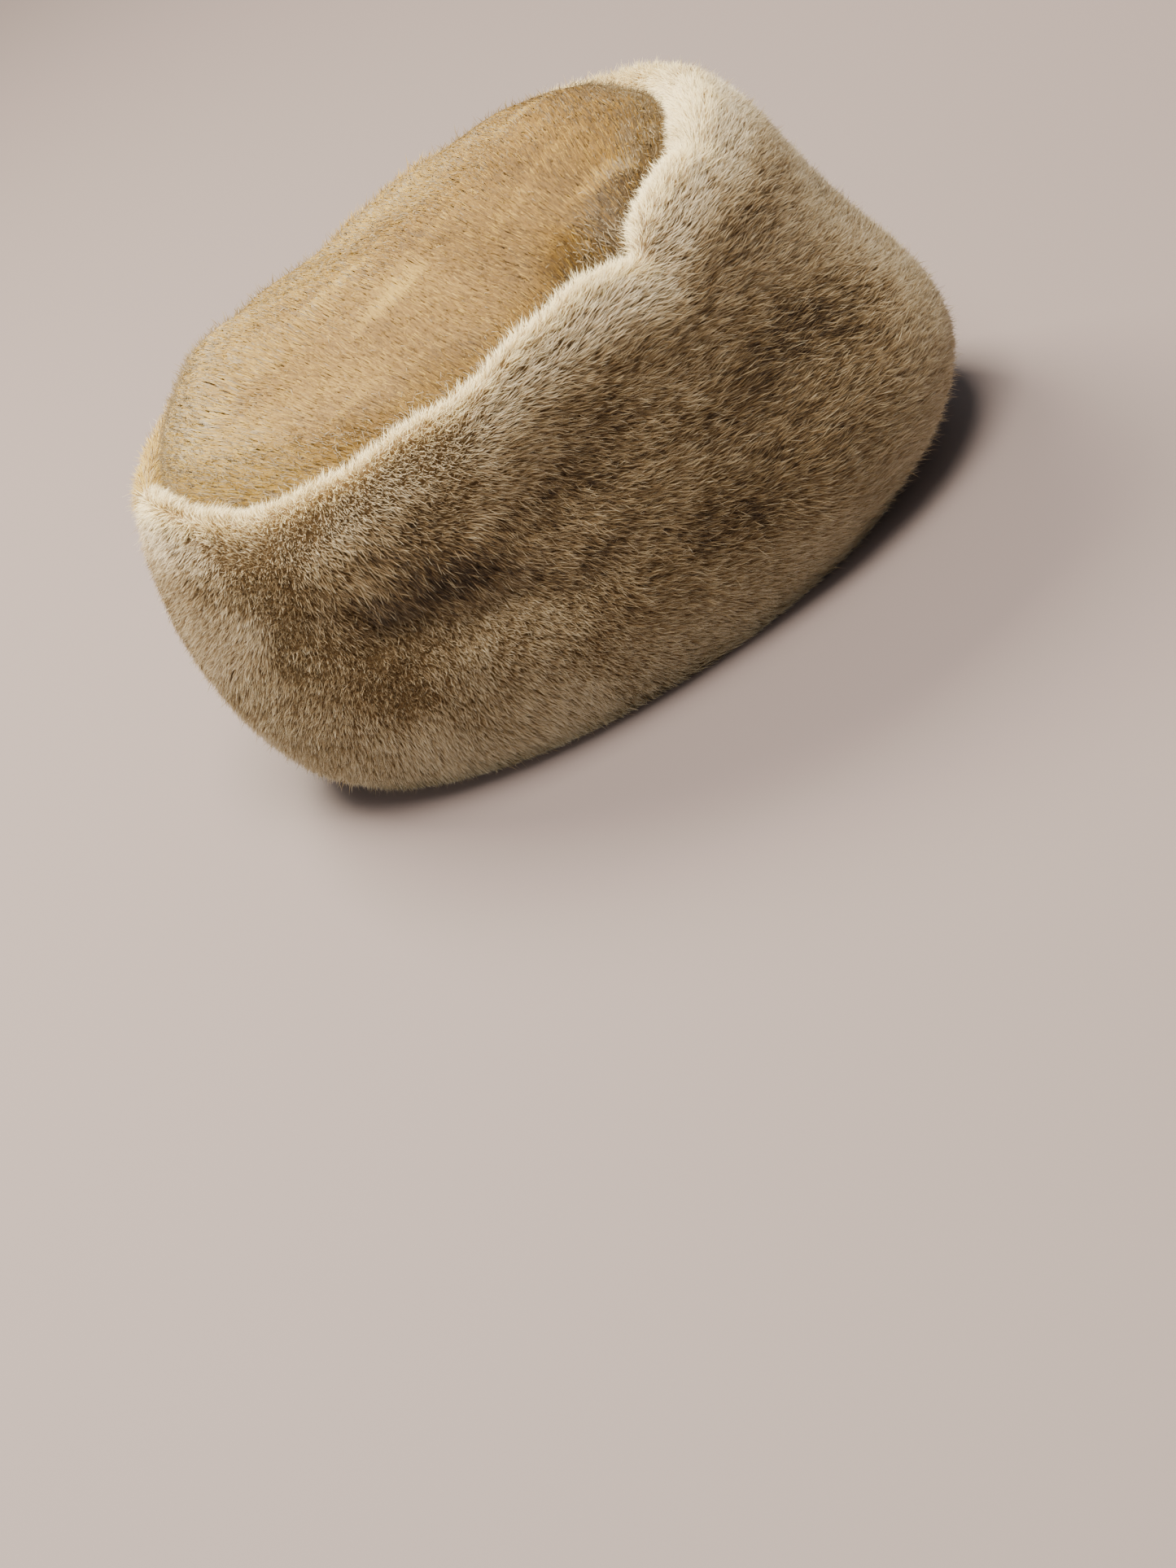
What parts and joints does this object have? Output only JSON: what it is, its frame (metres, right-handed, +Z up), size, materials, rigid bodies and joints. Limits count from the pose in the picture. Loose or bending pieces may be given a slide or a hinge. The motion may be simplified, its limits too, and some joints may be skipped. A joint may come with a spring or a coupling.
{
  "type": "pillbox hat",
  "caption": "Deep fur-fabric pillbox hat with a gathered ridge round its soft oval crown, taller at the front.",
  "frame": {"origin": "on the surface that the hem rests on, under the middle of the hat's outline", "axes": "+Z up out of the crown, -Y to the front of the hat, -X to the wearer's right"},
  "size_m": [0.2144, 0.2616, 0.1483],
  "materials": {
    "band_fur": "matt",
    "crown_fur": "matt"
  },
  "bodies": {
    "root": {"side_band": "band_fur", "crown_top": "crown_fur"}
  },
  "joints": []
}
